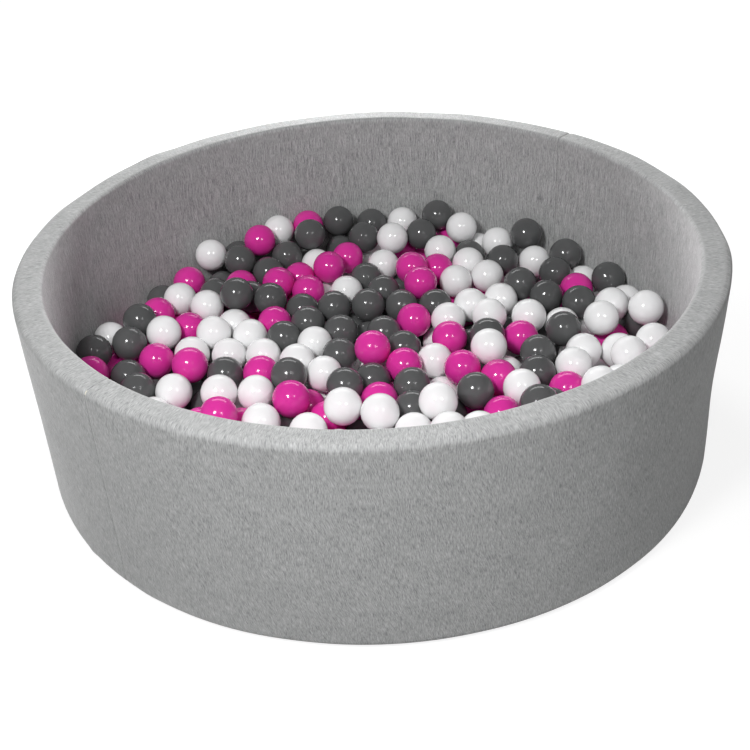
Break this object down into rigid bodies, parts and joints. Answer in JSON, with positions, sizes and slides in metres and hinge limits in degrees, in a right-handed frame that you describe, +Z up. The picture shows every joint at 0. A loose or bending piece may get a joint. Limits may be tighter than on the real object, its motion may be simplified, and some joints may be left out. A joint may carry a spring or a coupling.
{
  "type": "ball pit",
  "caption": "Round foam-walled ball pit with a soft knitted cover, a padded floor and a zip round its underside, filled with loose plastic balls in mixed colours.",
  "frame": {"origin": "middle of the underside, on the floor", "axes": "+Z up; -Y towards the side that the picture shows; +X to that view's right"},
  "size_m": [1.2798, 1.2798, 0.4],
  "materials": {
    "grey_jersey": "heather grey knit, matt",
    "underside_fabric": "plain woven lining, matt",
    "polyether_foam": "cut open-cell foam, matt",
    "zip_tape": "woven tape with moulded teeth, matt",
    "zip_metal": "cast, satin",
    "white_plastic": "blow-moulded, glossy",
    "dark_grey_plastic": "blow-moulded, glossy",
    "magenta_plastic": "blow-moulded, glossy"
  },
  "bodies": {
    "pit": {"wall_cover_back": "grey_jersey", "wall_cover_front": "grey_jersey", "wall_foam": "polyether_foam", "floor_cover": "grey_jersey", "base_foam": "polyether_foam", "bottom_cover": "underside_fabric", "zip_side_outer": "zip_tape", "zip_side_inner": "zip_tape", "zip_stop_first": "zip_metal", "zip_stop_last": "zip_metal", "grey_ball_03": "dark_grey_plastic", "grey_ball_11": "dark_grey_plastic", "grey_ball_15": "dark_grey_plastic", "grey_ball_16": "dark_grey_plastic", "grey_balls_04": "dark_grey_plastic", "grey_balls_07": "dark_grey_plastic", "grey_balls_10": "dark_grey_plastic", "grey_balls_13": "dark_grey_plastic", "grey_balls_17": "dark_grey_plastic", "grey_balls_18": "dark_grey_plastic", "grey_balls_19": "dark_grey_plastic", "grey_balls_20": "dark_grey_plastic", "grey_balls_21": "dark_grey_plastic", "magenta_ball_02": "magenta_plastic", "magenta_ball_03": "magenta_plastic", "magenta_ball_04": "magenta_plastic", "magenta_ball_05": "magenta_plastic", "magenta_ball_07": "magenta_plastic", "magenta_balls_09": "magenta_plastic", "magenta_balls_10": "magenta_plastic", "magenta_balls_11": "magenta_plastic", "magenta_balls_12": "magenta_plastic", "magenta_balls_13": "magenta_plastic", "magenta_balls_14": "magenta_plastic", "white_ball_03": "white_plastic", "white_ball_07": "white_plastic", "white_ball_09": "white_plastic", "white_ball_10": "white_plastic", "white_balls_11": "white_plastic", "white_balls_12": "white_plastic", "white_balls_13": "white_plastic"},
    "slider": {"zip_slider": "zip_metal"},
    "pull_tab": {"zip_pull_tab": "zip_metal"},
    "loose_grey_ball_01": {"grey_ball_01": "dark_grey_plastic"},
    "loose_grey_ball_02": {"grey_ball_02": "dark_grey_plastic"},
    "loose_grey_ball_05": {"grey_ball_05": "dark_grey_plastic"},
    "loose_grey_ball_06": {"grey_ball_06": "dark_grey_plastic"},
    "loose_grey_ball_08": {"grey_ball_08": "dark_grey_plastic"},
    "loose_grey_ball_09": {"grey_ball_09": "dark_grey_plastic"},
    "loose_grey_ball_12": {"grey_ball_12": "dark_grey_plastic"},
    "loose_grey_ball_14": {"grey_ball_14": "dark_grey_plastic"},
    "loose_magenta_ball_01": {"magenta_ball_01": "magenta_plastic"},
    "loose_magenta_ball_06": {"magenta_ball_06": "magenta_plastic"},
    "loose_magenta_ball_08": {"magenta_ball_08": "magenta_plastic"},
    "loose_white_ball_01": {"white_ball_01": "white_plastic"},
    "loose_white_ball_02": {"white_ball_02": "white_plastic"},
    "loose_white_ball_04": {"white_ball_04": "white_plastic"},
    "loose_white_ball_05": {"white_ball_05": "white_plastic"},
    "loose_white_ball_06": {"white_ball_06": "white_plastic"},
    "loose_white_ball_08": {"white_ball_08": "white_plastic"}
  },
  "joints": [
    {"name": "zip_slide", "type": "hinge", "parent": "pit", "child": "slider", "pos_m": [0, 0, 0], "axis": [0, 0, 1], "range_deg": [0, 355]},
    {"name": "pull_tab_hinge", "type": "hinge", "parent": "slider", "child": "pull_tab", "pos_m": [-0.0203, 0.60251, 0.0024], "axis": [0.0337, -0.9994, 0], "range_deg": [0, 170]},
    {"name": "lift_grey_ball_01", "type": "slide", "parent": "pit", "child": "loose_grey_ball_01", "axis": [0, 0, 1], "range_m": [0, 0.3]},
    {"name": "lift_grey_ball_02", "type": "slide", "parent": "pit", "child": "loose_grey_ball_02", "axis": [0, 0, 1], "range_m": [0, 0.3]},
    {"name": "lift_grey_ball_05", "type": "slide", "parent": "pit", "child": "loose_grey_ball_05", "axis": [0, 0, 1], "range_m": [0, 0.3]},
    {"name": "lift_grey_ball_06", "type": "slide", "parent": "pit", "child": "loose_grey_ball_06", "axis": [0, 0, 1], "range_m": [0, 0.3]},
    {"name": "lift_grey_ball_08", "type": "slide", "parent": "pit", "child": "loose_grey_ball_08", "axis": [0, 0, 1], "range_m": [0, 0.3]},
    {"name": "lift_grey_ball_09", "type": "slide", "parent": "pit", "child": "loose_grey_ball_09", "axis": [0, 0, 1], "range_m": [0, 0.3]},
    {"name": "lift_grey_ball_12", "type": "slide", "parent": "pit", "child": "loose_grey_ball_12", "axis": [0, 0, 1], "range_m": [0, 0.3]},
    {"name": "lift_grey_ball_14", "type": "slide", "parent": "pit", "child": "loose_grey_ball_14", "axis": [0, 0, 1], "range_m": [0, 0.3]},
    {"name": "lift_magenta_ball_01", "type": "slide", "parent": "pit", "child": "loose_magenta_ball_01", "axis": [0, 0, 1], "range_m": [0, 0.3]},
    {"name": "lift_magenta_ball_06", "type": "slide", "parent": "pit", "child": "loose_magenta_ball_06", "axis": [0, 0, 1], "range_m": [0, 0.3]},
    {"name": "lift_magenta_ball_08", "type": "slide", "parent": "pit", "child": "loose_magenta_ball_08", "axis": [0, 0, 1], "range_m": [0, 0.3]},
    {"name": "lift_white_ball_01", "type": "slide", "parent": "pit", "child": "loose_white_ball_01", "axis": [0, 0, 1], "range_m": [0, 0.3]},
    {"name": "lift_white_ball_02", "type": "slide", "parent": "pit", "child": "loose_white_ball_02", "axis": [0, 0, 1], "range_m": [0, 0.3]},
    {"name": "lift_white_ball_04", "type": "slide", "parent": "pit", "child": "loose_white_ball_04", "axis": [0, 0, 1], "range_m": [0, 0.3]},
    {"name": "lift_white_ball_05", "type": "slide", "parent": "pit", "child": "loose_white_ball_05", "axis": [0, 0, 1], "range_m": [0, 0.3]},
    {"name": "lift_white_ball_06", "type": "slide", "parent": "pit", "child": "loose_white_ball_06", "axis": [0, 0, 1], "range_m": [0, 0.3]},
    {"name": "lift_white_ball_08", "type": "slide", "parent": "pit", "child": "loose_white_ball_08", "axis": [0, 0, 1], "range_m": [0, 0.3]}
  ]
}
